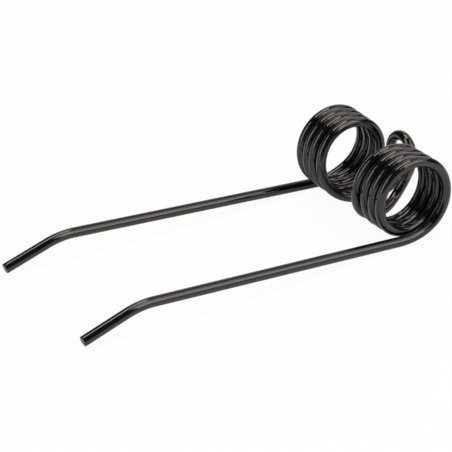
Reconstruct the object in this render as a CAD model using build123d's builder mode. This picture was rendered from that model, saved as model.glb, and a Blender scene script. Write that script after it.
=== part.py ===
from build123d import *
import os
from math import acos, atan2, cos, degrees, hypot, pi, radians, sin, sqrt

os.makedirs("parts", exist_ok=True)

# A double spring tine, bent from one round wire: two straight legs with bent-down tips, two coils, and
# between the coils a loop for the bolt. X runs along the coils, the legs point to -Y, Z is up.

# Driving dimensions, in millimetres and degrees
WIRE = 5.5                  # diameter of the wire
TIP_CHAMFER = 0.4           # on the cut ends
LEG_SPACING = 81.0          # between the two legs, where they leave the coils
LEG_SPLAY = 0.65            # each leg leans outward by this much
LEG_LENGTH = 148.0          # the straight run
BEND_RADIUS = 41.5          # from the leg down to the tip
BEND_ANGLE = 22.0
TIP_LENGTH = 26.0           # straight end behind the bend
COIL_RADIUS = 20.3          # of the wire's middle line
COIL_PITCH = 6.2
COIL_TOE = 2.2              # each coil is turned so that its inner end leans to the tips
COIL_TURNS = 4              # bottom to bottom
LEAD_RADIUS = 35.2          # the wider curve from the leg into the coil
LEAD_ANGLE = 35.0
DRIFT_TURNS = 0.55          # length of the last turn's swing to the middle
DRIFT = 5.6                 # how far it swings past the coil's pitch
NECK_ANGLE = 60.0           # past the bottom, where the two strands are closest
NECK_GAP = 1.8              # clear space between the strands there
NECK_OUTSET = 1.3           # the strands pass this far outside the coils' middle line there
LOOP_RADIUS = 9.5           # of the wire's middle line
LOOP_SETBACK = 1.5          # the loop's plane stands this far inside the coils' rear
LOOP_HEIGHT = 6.8           # the loop's centre above the coils' axis

# Angles in radians, counted from the coil's bottom over the rear to the top
lead = radians(LEAD_ANGLE)
bend = radians(BEND_ANGLE)
coil_end = 2 * pi * COIL_TURNS
drift_start = coil_end - 2 * pi * DRIFT_TURNS
neck = radians(NECK_ANGLE)
toe = radians(COIL_TOE)

# Where the right leg meets its lead-in curve, with the coils' axis at Y = Z = 0
leg_x = LEG_SPACING / 2
lead_centre_y = (COIL_RADIUS - LEAD_RADIUS) * sin(lead)
lead_centre_z = (LEAD_RADIUS - COIL_RADIUS) * cos(lead)
leg_root = Vector(leg_x, lead_centre_y, lead_centre_z - LEAD_RADIUS)


def coil_station(angle):
    """A point of the right coil's middle line and the wire's direction there."""
    swing = max(0.0, angle - drift_start) / (coil_end - drift_start)
    inset = COIL_PITCH * (angle - lead) / (2 * pi) + DRIFT * swing**2
    inset_rate = COIL_PITCH / (2 * pi) + 2 * DRIFT * swing / (coil_end - drift_start)
    # The leg's end of the coil is not turned yet, and half a turn on it is turned by the whole toe
    turned = min(1.0, (angle - lead) / pi)
    turned_rate = 1 / pi if turned < 1 else 0.0
    rear, rear_rate = COIL_RADIUS * sin(angle), COIL_RADIUS * cos(angle)
    x = leg_x - inset * cos(toe) - rear * turned * sin(toe)
    x_rate = -inset_rate * cos(toe) - (rear_rate * turned + rear * turned_rate) * sin(toe)
    point = Vector(x, rear * cos(toe) - inset * sin(toe), -COIL_RADIUS * cos(angle))
    direction = Vector(x_rate, rear_rate * cos(toe) - inset_rate * sin(toe), COIL_RADIUS * sin(angle))
    return point, direction.normalized()


def meeting_point(start, end):
    """Where two arcs meet that leave one station and reach the next along their directions."""
    (p, p_dir), (q, q_dir) = start, end
    across = q - p
    both = p_dir + q_dir
    spread = 2 * (1 - p_dir.dot(q_dir))
    along = across.dot(both)
    reach = (sqrt(along**2 + spread * across.dot(across)) - along) / spread
    return (p + q + (p_dir - q_dir) * reach) / 2


# Stations of the right half, from the tip to the middle of the loop
leg_dir = Vector(sin(radians(LEG_SPLAY)), -cos(radians(LEG_SPLAY)), 0)
down = Vector(0, 0, -1)
tip_dir = leg_dir * cos(bend) + down * sin(bend)
leg_end = leg_root + leg_dir * LEG_LENGTH
bend_end = leg_end + leg_dir * BEND_RADIUS * sin(bend) + down * BEND_RADIUS * (1 - cos(bend))
tip = bend_end + tip_dir * TIP_LENGTH

quarters = range(1, 4 * COIL_TURNS + 1)
coil_stations = [coil_station(lead)] + [coil_station(quarter * pi / 2) for quarter in quarters]
loop_y = COIL_RADIUS - LOOP_SETBACK
neck_x = (WIRE + NECK_GAP) / 2
neck_radius = COIL_RADIUS + NECK_OUTSET
neck_point = Vector(neck_x, neck_radius * sin(neck), -neck_radius * cos(neck))
neck_station = (neck_point, Vector(0, cos(neck), sin(neck)))
loop_side = (Vector(LOOP_RADIUS, loop_y, LOOP_HEIGHT), Vector(0, 0, 1))
loop_top = (Vector(0, loop_y, LOOP_HEIGHT + LOOP_RADIUS), Vector(-1, 0, 0))
stations = [(leg_root, -leg_dir)] + coil_stations + [neck_station, loop_side, loop_top]

# The right half is swept from the tip, and the left half is its mirror image
with BuildPart() as wire:
    with BuildLine() as middle_line:
        Line(tip, bend_end)
        TangentArc(bend_end, leg_end, tangent=-tip_dir)
        Line(leg_end, leg_root)
        for start, end in zip(stations, stations[1:]):
            meeting = meeting_point(start, end)
            TangentArc(start[0], meeting, tangent=start[1])
            TangentArc(meeting, end[0], tangent=-end[1], tangent_from_first=False)
    with BuildSketch(Plane(origin=tip, z_dir=-tip_dir)):
        Circle(WIRE / 2)
    sweep(path=middle_line.wires()[0])
    chamfer(wire.faces().sort_by(Axis.Y)[0].edges(), TIP_CHAMFER)
    mirror(about=Plane.YZ)

# At rest it stands on the two lead-in curves and on the lower edges of the two tips
edge = tip - tip_dir * TIP_CHAMFER
rise = lead_centre_z - edge.Z + WIRE / 2 * cos(bend)
reach = lead_centre_y - edge.Y - WIRE / 2 * sin(bend)
bottom_radius = LEAD_RADIUS + WIRE / 2
rest_angle = acos(bottom_radius / hypot(rise, reach)) - atan2(reach, rise)
resting = wire.part.rotate(Axis.X, -degrees(rest_angle))
box = resting.bounding_box()

# The origin is on the ground, in the middle of the length and the width
with BuildPart() as double_tine:
    add(resting.translate((0, -box.center().Y, -box.min.Z)))

double_tine.part.label = "double_tine"
export_step(double_tine.part, "parts/double_tine.step")
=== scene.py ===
"""Looks of a double spring tine: its lacquered wire, the cut tips, a white studio sweep and the camera."""

import logging
import math
from dataclasses import dataclass
from enum import Enum

import bpy
from mathutils import Matrix, Vector


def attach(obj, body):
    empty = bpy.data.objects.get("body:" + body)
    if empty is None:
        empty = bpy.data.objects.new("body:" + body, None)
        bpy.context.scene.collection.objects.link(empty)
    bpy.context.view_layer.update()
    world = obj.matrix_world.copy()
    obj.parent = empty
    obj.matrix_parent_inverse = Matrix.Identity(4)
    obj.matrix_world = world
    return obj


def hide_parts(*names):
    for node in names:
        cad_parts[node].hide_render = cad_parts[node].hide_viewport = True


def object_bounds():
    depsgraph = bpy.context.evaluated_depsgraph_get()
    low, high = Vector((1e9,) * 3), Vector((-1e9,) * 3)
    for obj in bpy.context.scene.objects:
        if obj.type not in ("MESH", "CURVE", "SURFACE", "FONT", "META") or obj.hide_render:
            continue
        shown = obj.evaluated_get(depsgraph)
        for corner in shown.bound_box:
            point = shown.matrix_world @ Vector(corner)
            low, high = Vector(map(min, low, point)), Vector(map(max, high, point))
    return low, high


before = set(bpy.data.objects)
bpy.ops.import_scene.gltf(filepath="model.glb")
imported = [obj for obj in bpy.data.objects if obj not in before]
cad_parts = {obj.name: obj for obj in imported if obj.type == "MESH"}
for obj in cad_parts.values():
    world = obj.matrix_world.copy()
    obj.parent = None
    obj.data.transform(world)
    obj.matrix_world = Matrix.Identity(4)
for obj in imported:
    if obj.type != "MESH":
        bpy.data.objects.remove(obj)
CAD_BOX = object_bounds()
LOG = logging.getLogger("tine")
MM = 0.001
SKIN_NAME = "double_tine_skin"
FLOOR_NAME = "sweep_floor"
# An arc that turns by less than this, in radians, is a straight run
STRAIGHT = 1e-6
# Where a Mix node that is set to colours keeps its share, its two colours and its result
MIX_SHARE, MIX_FIRST, MIX_SECOND, MIX_RESULT = 0, 6, 7, 2


def linear(hex_colour: str) -> tuple[float, float, float, float]:
    """Turns an sRGB colour into the linear values that a shader takes.

    Args:
        hex_colour: Six hex digits, such as "0B0B0C".

    Returns:
        Red, green, blue and an alpha of 1.
    """
    parts = [int(hex_colour[i : i + 2], 16) / 255 for i in (0, 2, 4)]
    # The sRGB standard's own curve, with its straight foot
    low = [c / 12.92 if c <= 0.04045 else ((c + 0.055) / 1.055) ** 2.4 for c in parts]
    return (low[0], low[1], low[2], 1.0)


def add_node(
    tree: bpy.types.NodeTree,
    kind: str,
    settings: dict[str, object] | None = None,
    links: dict[str, object] | None = None,
) -> bpy.types.Node:
    """Adds one shader node.

    Args:
        tree: The node tree that gets it.
        kind: The node's type, such as "ShaderNodeTexNoise".
        settings: Attributes of the node by name, and input values by input name.
        links: For an input's name, the output socket that feeds it.

    Returns:
        The new node.
    """
    node = tree.nodes.new(kind)
    for name, value in (settings or {}).items():
        if name in node.inputs:
            node.inputs[name].default_value = value
        else:
            setattr(node, name, value)
    for name, socket in (links or {}).items():
        tree.links.new(socket, node.inputs[name])
    return node


def toward(azimuth: float, elevation: float) -> Vector:
    """Gives the direction from the tine to a place in the studio.

    Args:
        azimuth: Degrees seen from above, 0 in front of the tips and 90 on the right leg's side.
        elevation: Degrees above the ground.

    Returns:
        A vector of length 1.
    """
    a, e = math.radians(azimuth), math.radians(elevation)
    return Vector((math.sin(a) * math.cos(e), -math.cos(a) * math.cos(e), math.sin(e)))


class Ground(Enum):
    """What the lacquer lies on, which shows through it as relief."""

    DRAWN = "drawn wire"
    SHEARED = "sheared end"


@dataclass(frozen=True)
class BlackLacquer:
    """Dipped and stoved black lacquer on spring steel: a thin, hard, wet-looking film that mirrors its room.

    The film is a dielectric of index 1.6, so it mirrors about 5 percent face on and far more at a glancing
    angle. It is too thin to hide the lines that the drawing die left along the wire.
    """

    name: str = "stoved_black_lacquer"
    colour: str = "050505"
    thin_colour: str = "0E0C0B"
    ior: float = 1.6
    roughness: float = 0.07
    # The gloss is lower by up to this much in soft patches, between these two values of their noise
    haze: float = 0.045
    haze_start: float = 0.35
    haze_full: float = 0.75
    haze_patch_mm: float = 9.0
    haze_detail: float = 3.0
    # Die lines are finer than a tenth of a millimetre: drawn as coarse as the picture can show
    die_line_mm: float = 0.55
    die_line_length_mm: float = 60.0
    die_line_relief_mm: float = 0.011
    shear_line_mm: float = 0.35
    shear_line_length_mm: float = 2.8
    shear_relief_mm: float = 0.03
    line_detail: float = 2.0
    orange_peel_mm: float = 1.6
    orange_peel_relief_mm: float = 0.004
    orange_peel_detail: float = 1.0

    def material(self, ground: Ground) -> bpy.types.Material:
        """Makes the lacquer for one kind of ground.

        Args:
            ground: What lies under the film.

        Returns:
            The material.
        """
        material = bpy.data.materials.new(f"{self.name}_on_{ground.value.replace(' ', '_')}")
        material.use_nodes = True
        tree = material.node_tree
        shader = tree.nodes["Principled BSDF"]
        shader.inputs["IOR"].default_value = self.ior
        shader.inputs["Metallic"].default_value = 0.0
        place = add_node(tree, "ShaderNodeAttribute", {"attribute_name": "unbent"}).outputs["Vector"]
        patches = add_node(
            tree,
            "ShaderNodeTexNoise",
            {"Scale": 1 / (self.haze_patch_mm * MM), "Detail": self.haze_detail},
            {"Vector": place},
        ).outputs["Fac"]
        rough = add_node(
            tree,
            "ShaderNodeMapRange",
            {
                "From Min": self.haze_start,
                "From Max": self.haze_full,
                "To Min": self.roughness,
                "To Max": self.roughness + self.haze,
            },
            {"Value": patches},
        )
        tree.links.new(rough.outputs["Result"], shader.inputs["Roughness"])
        film = add_node(tree, "ShaderNodeMix", {"data_type": "RGBA"})
        film.inputs[MIX_FIRST].default_value = linear(self.colour)
        film.inputs[MIX_SECOND].default_value = linear(self.thin_colour)
        tree.links.new(patches, film.inputs[MIX_SHARE])
        tree.links.new(film.outputs[MIX_RESULT], shader.inputs["Base Color"])
        tree.links.new(self.relief(tree, place, ground), shader.inputs["Normal"])
        return material

    def relief(
        self, tree: bpy.types.NodeTree, place: bpy.types.NodeSocket, ground: Ground
    ) -> bpy.types.NodeSocket:
        """Adds the film's own unevenness over the ground's lines.

        Args:
            tree: The material's node tree.
            place: The socket that gives the place on the straight wire, in metres.
            ground: What lies under the film.

        Returns:
            The normal's output socket.
        """
        peel = add_node(
            tree,
            "ShaderNodeTexNoise",
            {"Scale": 1 / (self.orange_peel_mm * MM), "Detail": self.orange_peel_detail},
            {"Vector": place},
        )
        # The die's lines run along the wire, and the shears' lines run up the cut face
        if ground is Ground.DRAWN:
            across, along = 1 / (self.die_line_mm * MM), 1 / (self.die_line_length_mm * MM)
            stretch, depth = (along, across, across), self.die_line_relief_mm
        else:
            across, along = 1 / (self.shear_line_mm * MM), 1 / (self.shear_line_length_mm * MM)
            stretch, depth = (across, across, along), self.shear_relief_mm
        scaled = add_node(tree, "ShaderNodeMapping", {"Scale": stretch}, {"Vector": place})
        lines = add_node(
            tree,
            "ShaderNodeTexNoise",
            {"Scale": 1.0, "Detail": self.line_detail},
            {"Vector": scaled.outputs["Vector"]},
        )
        under = add_node(
            tree,
            "ShaderNodeBump",
            {"Strength": 1.0, "Distance": depth * MM},
            {"Height": lines.outputs["Fac"]},
        )
        over = add_node(
            tree,
            "ShaderNodeBump",
            {"Strength": 1.0, "Distance": self.orange_peel_relief_mm * MM},
            {"Height": peel.outputs["Fac"], "Normal": under.outputs["Normal"]},
        )
        return over.outputs["Normal"]


@dataclass(frozen=True)
class SweepPaint:
    """Matt white emulsion, rolled on the sweep: it scatters light evenly and keeps a faint shadow."""

    name: str = "matt_white_sweep"
    colour: str = "F2F0F3"
    roughness: float = 0.95
    # The photograph's ground is burnt out to white, so most of what is seen of it is plain white, and about
    # a third of what the lacquer mirrors: the rest is the paint with the tine's shadow
    seen_white: float = 0.94
    mirrored_white: float = 0.3

    def material(self) -> bpy.types.Material:
        """Makes the paint.

        Returns:
            The material.
        """
        material = bpy.data.materials.new(self.name)
        material.use_nodes = True
        tree = material.node_tree
        paint = tree.nodes["Principled BSDF"]
        paint.inputs["Base Color"].default_value = linear(self.colour)
        paint.inputs["Roughness"].default_value = self.roughness
        paint.inputs["Specular IOR Level"].default_value = 0.0
        white = add_node(tree, "ShaderNodeEmission", {"Strength": 1.0})
        path = add_node(tree, "ShaderNodeLightPath")
        # Each kind of ray adds its own share of the plain white
        share = None
        for ray, white_share in (
            ("Is Camera Ray", self.seen_white),
            ("Is Glossy Ray", self.mirrored_white),
            ("Is Transmission Ray", self.mirrored_white),
        ):
            added = add_node(tree, "ShaderNodeMath", {"operation": "MULTIPLY_ADD"})
            tree.links.new(path.outputs[ray], added.inputs[0])
            added.inputs[1].default_value = white_share
            added.inputs[2].default_value = 0.0
            if share:
                tree.links.new(share.outputs[0], added.inputs[2])
            share = added
        shown = add_node(tree, "ShaderNodeMixShader", links={"Fac": share.outputs[0]})
        tree.links.new(paint.outputs["BSDF"], shown.inputs[1])
        tree.links.new(white.outputs["Emission"], shown.inputs[2])
        tree.links.new(shown.outputs["Shader"], tree.nodes["Material Output"].inputs["Surface"])
        # What is only seen as white gives no light
        material.cycles.emission_sampling = "NONE"
        return material


class Route:
    """A smooth line of straight runs and arcs, kept as points with the direction at each."""

    def __init__(self, start: Vector, direction: Vector) -> None:
        """Starts the line.

        Args:
            start: Its first point, in millimetres.
            direction: Where it sets off to.
        """
        self.points = [start.copy()]
        self.directions = [direction.normalized()]
        self.travelled = [0.0]

    def arc_to(self, end: Vector, step: float) -> None:
        """Goes on to a point by the arc that leaves in the present direction.

        Args:
            end: The arc's far end. An end straight ahead gives a straight run.
            step: The longest distance between kept points.
        """
        start, forward = self.points[-1], self.directions[-1]
        chord = end - start
        sideways = chord - forward * chord.dot(forward)
        half_turn = math.atan2(sideways.length, chord.dot(forward))
        if half_turn < STRAIGHT:
            radius, length = 0.0, chord.length
        else:
            radius = chord.length / (2 * math.sin(half_turn))
            length = 2 * half_turn * radius
            sideways.normalize()
        count = max(1, math.ceil(length / step))
        begun = self.travelled[-1]
        for i in range(1, count + 1):
            share = i / count
            if radius:
                turn = 2 * half_turn * share
                point = start + radius * (math.sin(turn) * forward + (1 - math.cos(turn)) * sideways)
                direction = math.cos(turn) * forward + math.sin(turn) * sideways
            else:
                point, direction = start + chord * share, forward
            self.points.append(point)
            self.directions.append(direction.normalized())
            self.travelled.append(begun + length * share)

    def bridge(self, end: Vector, end_direction: Vector, step: float) -> None:
        """Goes on to a point by two arcs, so that it arrives in a given direction.

        Args:
            end: Where it arrives.
            end_direction: The direction there, of length 1.
            step: The longest distance between kept points.
        """
        start, forward = self.points[-1], self.directions[-1]
        across, both = end - start, forward + end_direction
        spread = 2 * (1 - forward.dot(end_direction))
        along = across.dot(both)
        reach = (math.sqrt(along**2 + spread * across.dot(across)) - along) / spread
        self.arc_to((start + end + (forward - end_direction) * reach) / 2, step)
        self.arc_to(end, step)
        self.directions[-1] = end_direction


@dataclass
class DoubleTine:
    """The wire, bent in one piece from tip to tip, in the same sizes as its solid.

    Lengths are in millimetres and angles in degrees.
    """

    wire: float = 5.5
    tip_round: float = 0.4
    # The legs, which lean outward a little, and their bent-down tips
    leg_spacing: float = 81.0
    leg_splay: float = 0.65
    leg_length: float = 148.0
    bend_radius: float = 41.5
    bend_angle: float = 22.0
    tip_length: float = 26.0
    # The coils: radii are those of the wire's middle line, and the toe leans each inner end to the tips
    coil_radius: float = 20.3
    coil_pitch: float = 6.2
    coil_toe: float = 2.2
    coil_turns: int = 4
    # The wider curve from the leg into the coil
    lead_radius: float = 35.2
    lead_angle: float = 35.0
    # The last turn's swing to the middle: its length in turns, and how far it goes past the coil's pitch
    drift_turns: float = 0.55
    drift: float = 5.6
    # Where the two strands are closest: the angle past the bottom, the clear space between them, and how
    # far outside the coils' middle line they pass
    neck_angle: float = 60.0
    neck_gap: float = 1.8
    neck_outset: float = 1.3
    # The bolt loop: how far inside the coils' rear it stands, and how high above their axis
    loop_radius: float = 9.5
    loop_setback: float = 1.5
    loop_height: float = 6.8
    # The skin's own fineness: points round the wire, the longest steps along it, and rings on a cut end,
    # of which the innermost is this share of a ring's width from the middle
    sides: int = 48
    bent_step: float = 1.0
    straight_step: float = 4.0
    corner_steps: int = 4
    face_rings: int = 7
    innermost_ring: float = 0.15
    # The shears that cut the wire pull the middle of its end face in
    face_hollow: float = 0.3

    def coil_station(self, angle: float) -> tuple[Vector, Vector]:
        """Finds a place on the right coil's middle line.

        Args:
            angle: Radians along the coil, 0 at its bottom, then over the rear to the top.

        Returns:
            The point, with the coil's axis at Y = Z = 0, and the wire's direction there.
        """
        sine, cosine = math.sin(math.radians(self.coil_toe)), math.cos(math.radians(self.coil_toe))
        end = 2 * math.pi * self.coil_turns
        drift_length = 2 * math.pi * self.drift_turns
        swing = max(0.0, angle - end + drift_length) / drift_length
        wound = angle - math.radians(self.lead_angle)
        inset = self.coil_pitch * wound / (2 * math.pi) + self.drift * swing**2
        inset_rate = self.coil_pitch / (2 * math.pi) + 2 * self.drift * swing / drift_length
        # The leg's end of the coil is not turned yet, and half a turn on it is turned by the whole toe
        turned = min(1.0, wound / math.pi)
        turned_rate = 1 / math.pi if turned < 1 else 0.0
        rear, rear_rate = self.coil_radius * math.sin(angle), self.coil_radius * math.cos(angle)
        x = self.leg_spacing / 2 - inset * cosine - rear * turned * sine
        x_rate = -inset_rate * cosine - (rear_rate * turned + rear * turned_rate) * sine
        point = Vector((x, rear * cosine - inset * sine, -self.coil_radius * math.cos(angle)))
        along = Vector((x_rate, rear_rate * cosine - inset_rate * sine, self.coil_radius * math.sin(angle)))
        return point, along.normalized()

    def right_half(self) -> Route:
        """Walks the wire's middle line from the right tip to the top of the bolt loop.

        Returns:
            The line, with the coils' axis at Y = Z = 0.
        """
        lead, bend = math.radians(self.lead_angle), math.radians(self.bend_angle)
        splay, neck = math.radians(self.leg_splay), math.radians(self.neck_angle)
        widening = self.lead_radius - self.coil_radius
        root = Vector(
            (self.leg_spacing / 2, -widening * math.sin(lead), widening * math.cos(lead) - self.lead_radius)
        )
        leg = Vector((math.sin(splay), -math.cos(splay), 0))
        down = Vector((0, 0, -1))
        tip = leg * math.cos(bend) + down * math.sin(bend)
        leg_end = root + leg * self.leg_length
        drop = self.bend_radius * (1 - math.cos(bend))
        bend_end = leg_end + leg * self.bend_radius * math.sin(bend) + down * drop

        route = Route(bend_end + tip * self.tip_length, -tip)
        route.arc_to(bend_end, self.straight_step)
        route.arc_to(leg_end, self.bent_step)
        route.arc_to(root, self.straight_step)
        stations = [self.coil_station(lead)]
        quarters = range(1, 4 * self.coil_turns + 1)
        stations += [self.coil_station(quarter * math.pi / 2) for quarter in quarters]
        neck_radius = self.coil_radius + self.neck_outset
        neck_x = (self.wire + self.neck_gap) / 2
        loop_y = self.coil_radius - self.loop_setback
        loop_top = self.loop_height + self.loop_radius
        stations += [
            (
                Vector((neck_x, neck_radius * math.sin(neck), -neck_radius * math.cos(neck))),
                Vector((0, math.cos(neck), math.sin(neck))),
            ),
            (Vector((self.loop_radius, loop_y, self.loop_height)), Vector((0, 0, 1))),
            (Vector((0, loop_y, loop_top)), Vector((-1, 0, 0))),
        ]
        for point, direction in stations:
            route.bridge(point, direction, self.bent_step)
        return route

    def rest_pose(self) -> Matrix:
        """Finds how the tine lies on the ground, on its lead-in curves and the lower edges of its tips.

        Returns:
            The turn about the coils' axis that lays it down.
        """
        lead, bend = math.radians(self.lead_angle), math.radians(self.bend_angle)
        widening = self.lead_radius - self.coil_radius
        centre_y, centre_z = -widening * math.sin(lead), widening * math.cos(lead)
        route_start = self.right_half().points[0]
        tip = Vector((0, -math.cos(bend), -math.sin(bend)))
        edge = route_start - tip * self.tip_round
        radius = self.lead_radius + self.wire / 2
        rise = centre_z - edge.z + self.wire / 2 * math.cos(bend)
        reach = centre_y - edge.y - self.wire / 2 * math.sin(bend)
        angle = math.acos(radius / math.hypot(rise, reach)) - math.atan2(reach, rise)
        return Matrix.Rotation(-angle, 4, "X")

    def section(self, centre: Vector, right: Vector, up: Vector, radius: float) -> list[Vector]:
        """Places one ring of points round the wire.

        Args:
            centre: The ring's middle.
            right: One direction in the ring's plane, of length 1.
            up: The other, square to it.
            radius: The ring's radius.

        Returns:
            The points, one for each side.
        """
        turns = [2 * math.pi * side / self.sides for side in range(self.sides)]
        return [centre + (right * math.cos(turn) + up * math.sin(turn)) * radius for turn in turns]

    def half_rings(self) -> tuple[list[list[Vector]], list[list[Vector]]]:
        """Draws the right half of the wire's skin, from the middle of its cut face to the loop's top.

        Returns:
            The rings of points as bent, and the same rings on the straight wire.
        """
        route = self.right_half()
        forward = route.directions[0]
        right = forward.orthogonal().normalized()
        radius = self.wire / 2
        flat_radius = radius - self.tip_round
        bent, unbent = [], []

        def keep(centre: Vector, along: float, sideways: Vector, ahead: Vector, ring_radius: float) -> None:
            """Adds one ring, as bent and as straight.

            Args:
                centre: The ring's middle on the bent wire.
                along: The distance of that place along the straight wire.
                sideways: One direction in the ring's plane, of length 1.
                ahead: The wire's direction, of length 1.
                ring_radius: The ring's radius.
            """
            flat_centre, flat_right, flat_up = Vector((along, 0, 0)), Vector((0, 1, 0)), Vector((0, 0, 1))
            bent.append(self.section(centre, sideways, ahead.cross(sideways), ring_radius))
            unbent.append(self.section(flat_centre, flat_right, flat_up, ring_radius))

        for i in range(self.face_rings):
            share = (i + self.innermost_ring) / self.face_rings
            hollow = self.face_hollow * (1 - share**2)
            keep(route.points[0] + forward * hollow, hollow, right, forward, flat_radius * share)
        for i in range(self.corner_steps + 1):
            turn = math.pi / 2 * i / self.corner_steps
            back = self.tip_round * (1 - math.cos(turn))
            out = flat_radius + self.tip_round * math.sin(turn)
            keep(route.points[0] + forward * back, back, right, forward, out)
        for point, direction, travelled in zip(route.points[1:], route.directions[1:], route.travelled[1:]):
            right = (forward.rotation_difference(direction) @ right).normalized()
            forward = direction
            keep(point, travelled, right, forward, radius)
        return bent, unbent

    def build(self, material_slots: list[bpy.types.Material]) -> bpy.types.Object:
        """Builds the wire's skin as one closed mesh.

        Args:
            material_slots: The finish on the wire, then the finish on its two cut faces.

        Returns:
            The tine, in metres, in the frame of its solid.
        """
        bent, unbent = self.half_rings()
        length = 2 * unbent[-1][0].x
        pose = self.rest_pose()
        # The left half is the right half's mirror image, and follows on from it on the straight wire
        rings = bent + [[Vector((-p.x, p.y, p.z)) for p in ring] for ring in bent[-2::-1]]
        flats = unbent + [[Vector((length - p.x, p.y, p.z)) for p in ring] for ring in unbent[-2::-1]]
        points = [pose @ p for ring in rings for p in ring]
        low = Vector([min(p[axis] for p in points) for axis in range(3)])
        high = Vector([max(p[axis] for p in points) for axis in range(3)])
        shift = Vector((0, -(low.y + high.y) / 2, -low.z))
        points = [(p + shift) * MM for p in points]
        places = [p * MM for ring in flats for p in ring]

        faces, slots = [], []
        for ring in range(len(rings) - 1):
            on_face = min(ring, len(rings) - 2 - ring) < self.face_rings
            for side in range(self.sides):
                after = (side + 1) % self.sides
                here, there = ring * self.sides, (ring + 1) * self.sides
                faces.append((here + side, here + after, there + after, there + side))
                slots.append(1 if on_face else 0)
        last = (len(rings) - 1) * self.sides
        faces.append(tuple(reversed(range(self.sides))))
        faces.append(tuple(range(last, last + self.sides)))
        slots += [1, 1]

        mesh = bpy.data.meshes.new(SKIN_NAME)
        mesh.from_pydata([tuple(p) for p in points], [], faces)
        mesh.polygons.foreach_set("material_index", slots)
        mesh.polygons.foreach_set("use_smooth", [True] * len(faces))
        for material in material_slots:
            mesh.materials.append(material)
        attribute = mesh.attributes.new("unbent", "FLOAT_VECTOR", "POINT")
        attribute.data.foreach_set("vector", [c for p in places for c in p])
        mesh.validate()
        mesh.update()
        tine = bpy.data.objects.new(SKIN_NAME, mesh)
        bpy.context.scene.collection.objects.link(tine)
        return tine


@dataclass(frozen=True)
class SoftBox:
    """A flat studio lamp behind diffusing cloth, turned to the tine. Angles are in degrees, sizes in metres.

    Its brightness is what a mirror would show of the cloth, where 1 is white.
    """

    name: str
    azimuth: float
    elevation: float
    width: float
    height: float
    brightness: float
    distance: float = 2.7
    colour: str = "FFF6F0"

    def hang(self, target: Vector) -> None:
        """Puts the lamp in the studio.

        Args:
            target: What it is turned to.
        """
        light = bpy.data.lights.new(self.name, "AREA")
        light.shape = "RECTANGLE"
        light.size, light.size_y = self.width, self.height
        # Cloth that scatters evenly gives pi watts a square metre for each unit of brightness
        light.energy = self.brightness * math.pi * self.width * self.height
        light.color = linear(self.colour)[:3]
        lamp = bpy.data.objects.new(self.name, light)
        away = toward(self.azimuth, self.elevation)
        lamp.location = target + away * self.distance
        lamp.rotation_euler = away.to_track_quat("Z", "Y").to_euler()
        lamp.visible_camera = False
        bpy.context.scene.collection.objects.link(lamp)


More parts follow.
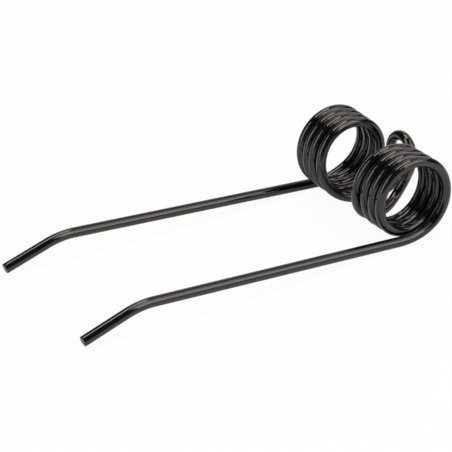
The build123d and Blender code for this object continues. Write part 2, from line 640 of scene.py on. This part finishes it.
@dataclass(frozen=True)
class Studio:
    """A white floor that curves up far behind on every side, a dark room over it, and soft boxes.

    Lengths are in metres and angles in degrees.
    """

    floor_radius: float = 6.0
    cove_radius: float = 0.5
    cove_height: float = 0.9
    cove_sides: int = 48
    cove_steps: int = 6
    # Brightness of the room and of its one lit wall, then where the middle of that wall is and how wide
    room: float = 0.07
    lit_wall: float = 0.9
    lit_azimuth: float = 227.0
    lit_elevation: float = 0.0
    lit_spread: float = 52.0
    # Each stands where the lacquer in the photograph mirrors a light. Only the coils mirror the close one
    boxes: tuple[SoftBox, ...] = (
        SoftBox("overhead_left_box", 262.0, 77.0, 1.8, 1.1, 4.7),
        SoftBox("overhead_left_skirt", 243.0, 53.0, 0.7, 0.8, 1.7),
        SoftBox("overhead_right_panel", 128.0, 66.0, 1.5, 0.9, 1.8),
        SoftBox("rear_right_box", 122.0, 31.0, 1.6, 1.8, 3.3),
        SoftBox("right_close_box", 105.0, 52.0, 0.27, 0.33, 1.6, distance=0.76),
        SoftBox("rear_tall_box", 161.0, 45.0, 0.62, 1.6, 2.0),
        SoftBox("rear_high_panel", 211.0, 54.0, 1.6, 0.8, 0.42),
        SoftBox("rear_box", 193.0, 38.0, 0.9, 1.1, 1.3),
        SoftBox("rear_left_box", 238.0, 20.0, 1.85, 1.3, 0.4),
        SoftBox("front_left_box", 346.0, 33.0, 0.8, 2.4, 3.1),
        SoftBox("front_panel", 6.0, 22.0, 1.3, 2.2, 1.3),
    )

    def lay_floor(self) -> None:
        """Lays the level floor and the cove that it ends in."""
        outline = []
        for step in range(self.cove_steps + 1):
            turn = math.pi / 2 * step / self.cove_steps
            out = self.floor_radius + self.cove_radius * math.sin(turn)
            outline.append((out, self.cove_radius * (1 - math.cos(turn))))
        outline.append((self.floor_radius + self.cove_radius, self.cove_height))
        points, faces = [], [tuple(range(self.cove_sides))]
        for level, (out, up) in enumerate(outline):
            for side in range(self.cove_sides):
                around = 2 * math.pi * side / self.cove_sides
                points.append((out * math.cos(around), out * math.sin(around), up))
                if level:
                    here, there = level * self.cove_sides, (level - 1) * self.cove_sides
                    after = (side + 1) % self.cove_sides
                    faces.append((there + side, there + after, here + after, here + side))
        mesh = bpy.data.meshes.new(FLOOR_NAME)
        mesh.from_pydata(points, [], faces)
        mesh.materials.append(SweepPaint().material())
        floor = bpy.data.objects.new(FLOOR_NAME, mesh)
        bpy.context.scene.collection.objects.link(floor)

    def light_room(self) -> None:
        """Lights the room: it is dark, and only the wall behind the coils on the left is lit."""
        world = bpy.data.worlds.new("studio")
        bpy.context.scene.world = world
        world.use_nodes = True
        tree = world.node_tree
        tree.nodes.clear()
        direction = add_node(tree, "ShaderNodeTexCoord").outputs["Generated"]
        facing = add_node(tree, "ShaderNodeVectorMath", {"operation": "DOT_PRODUCT"})
        tree.links.new(direction, facing.inputs[0])
        facing.inputs[1].default_value = toward(self.lit_azimuth, self.lit_elevation)
        level = add_node(
            tree,
            "ShaderNodeMapRange",
            {
                "interpolation_type": "SMOOTHSTEP",
                "From Min": math.cos(math.radians(self.lit_spread)),
                "From Max": 1.0,
                "To Min": self.room,
                "To Max": self.lit_wall,
            },
            {"Value": facing.outputs["Value"]},
        )
        glow = add_node(tree, "ShaderNodeBackground", links={"Strength": level.outputs["Result"]})
        add_node(tree, "ShaderNodeOutputWorld", links={"Surface": glow.outputs["Background"]})

    def set_up(self, target: Vector) -> None:
        """Builds the floor, the room's light and the lamps.

        Args:
            target: What the lamps are turned to.
        """
        self.lay_floor()
        self.light_room()
        for box in self.boxes:
            box.hang(target)


@dataclass(frozen=True)
class Viewpoint:
    """The photograph's camera: a long lens, high on the right of the tips.

    Angles are in degrees and lengths in millimetres.
    """

    azimuth: float = 58.911
    elevation: float = 27.911
    roll: float = -0.338
    distance: float = 1133.36
    lens: float = 168.57
    aim: tuple[float, float, float] = (-28.50, 13.92, -0.86)

    def set_up(self) -> None:
        """Makes the camera and gives it to the scene."""
        data = bpy.data.cameras.new("camera")
        data.lens = self.lens
        camera = bpy.data.objects.new("camera", data)
        away = toward(self.azimuth, self.elevation)
        turn = away.to_track_quat("Z", "Y").to_matrix().to_4x4()
        roll = Matrix.Rotation(math.radians(self.roll), 4, "Z")
        place = (Vector(self.aim) + away * self.distance) * MM
        camera.matrix_world = Matrix.Translation(place) @ turn @ roll
        bpy.context.scene.collection.objects.link(camera)
        bpy.context.scene.camera = camera


def main() -> None:
    """Builds the studio, the camera and the tine, in that order."""
    bpy.context.scene.view_settings.view_transform = "Standard"
    middle = (CAD_BOX[0] + CAD_BOX[1]) / 2
    Studio().set_up(middle)
    Viewpoint().set_up()
    lacquer = BlackLacquer()
    tine = DoubleTine().build([lacquer.material(Ground.DRAWN), lacquer.material(Ground.SHEARED)])
    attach(tine, "root")
    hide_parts("double_tine")
    LOG.info("%s: %d faces", tine.name, len(tine.data.polygons))


if __name__ == "__main__":
    logging.basicConfig(level=logging.INFO)
    main()
